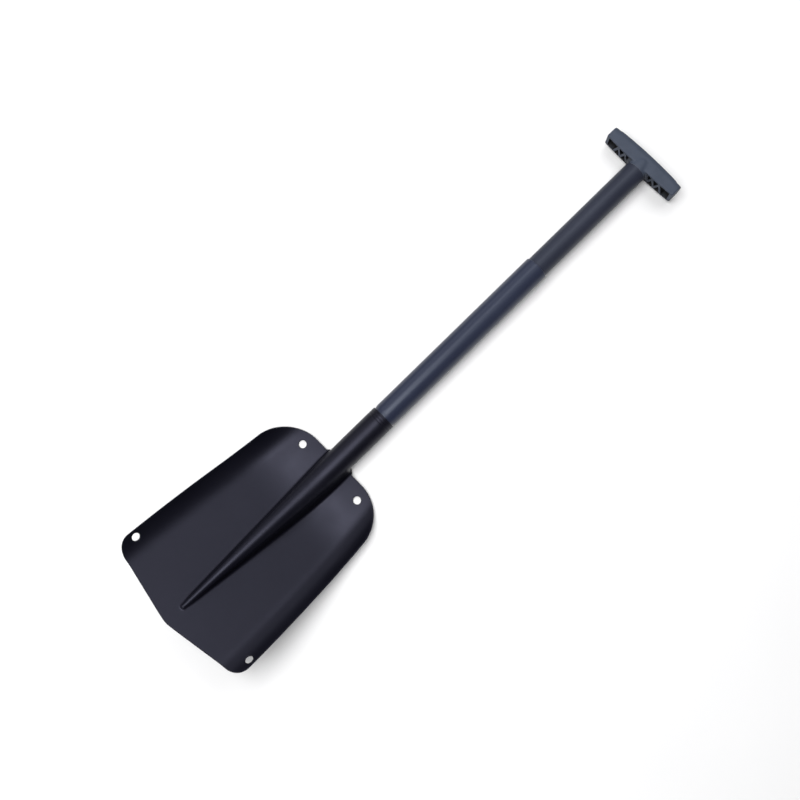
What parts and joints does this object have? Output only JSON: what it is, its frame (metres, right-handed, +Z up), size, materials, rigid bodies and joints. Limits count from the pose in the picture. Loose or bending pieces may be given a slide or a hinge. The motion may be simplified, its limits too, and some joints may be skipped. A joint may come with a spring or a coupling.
{
  "type": "camp shovel",
  "caption": "Compact camp shovel: pitched scoop blade with side lips and a tapered centre ridge, on a telescoping tube shaft locked by snap buttons, with a ribbed T-grip.",
  "frame": {"origin": "middle of the shovel's length and width, at the level it lies on with its scoop upwards", "axes": "+X along the shaft from the blade's tip towards the T-grip, +Y to the left across the blade, +Z up out of the scoop; the shaft axis is at z = 20 mm"},
  "size_m": [0.8132, 0.2108, 0.077],
  "materials": {
    "blade_coat": "charcoal powder coat over pressed aluminium sheet, satin",
    "mid_tube": "navy-black anodised, satin gloss",
    "upper_tube": "slate grey anodised, soft satin",
    "black_plastic": "moulded black plastic, fine grain",
    "button_steel": "bright turned steel",
    "spring_steel": "plain spring steel",
    "grip_plastic": "moulded slate grey plastic, fine matt grain"
  },
  "bodies": {
    "blade": {"blade": "blade_coat"},
    "mid_shaft": {"mid_shaft": "mid_tube", "mid_shaft_plug": "black_plastic", "lower_snap_spring": "spring_steel"},
    "lower_button": {"lower_snap_button": "button_steel"},
    "upper_shaft": {"upper_shaft": "upper_tube", "upper_shaft_guide": "black_plastic", "t_grip": "grip_plastic", "grip_pin": "spring_steel", "upper_snap_spring": "spring_steel"},
    "upper_button": {"upper_snap_button": "button_steel"}
  },
  "joints": [
    {"name": "mid_shaft_slide", "type": "slide", "parent": "blade", "child": "mid_shaft", "axis": [1, 0, 0], "range_m": [0, 0.15]},
    {"name": "upper_shaft_slide", "type": "slide", "parent": "mid_shaft", "child": "upper_shaft", "axis": [1, 0, 0], "range_m": [-0.15, 0]},
    {"name": "lower_button_press", "type": "slide", "parent": "mid_shaft", "child": "lower_button", "axis": [0, 0, 1], "range_m": [0, 0.0036], "stiffness_N_per_m": 1500, "springref_m": -0.004, "deforming": ["lower_snap_spring"]},
    {"name": "upper_button_press", "type": "slide", "parent": "upper_shaft", "child": "upper_button", "axis": [0, 0, 1], "range_m": [0, 0.0034], "stiffness_N_per_m": 1500, "springref_m": -0.004, "deforming": ["upper_snap_spring"]}
  ]
}
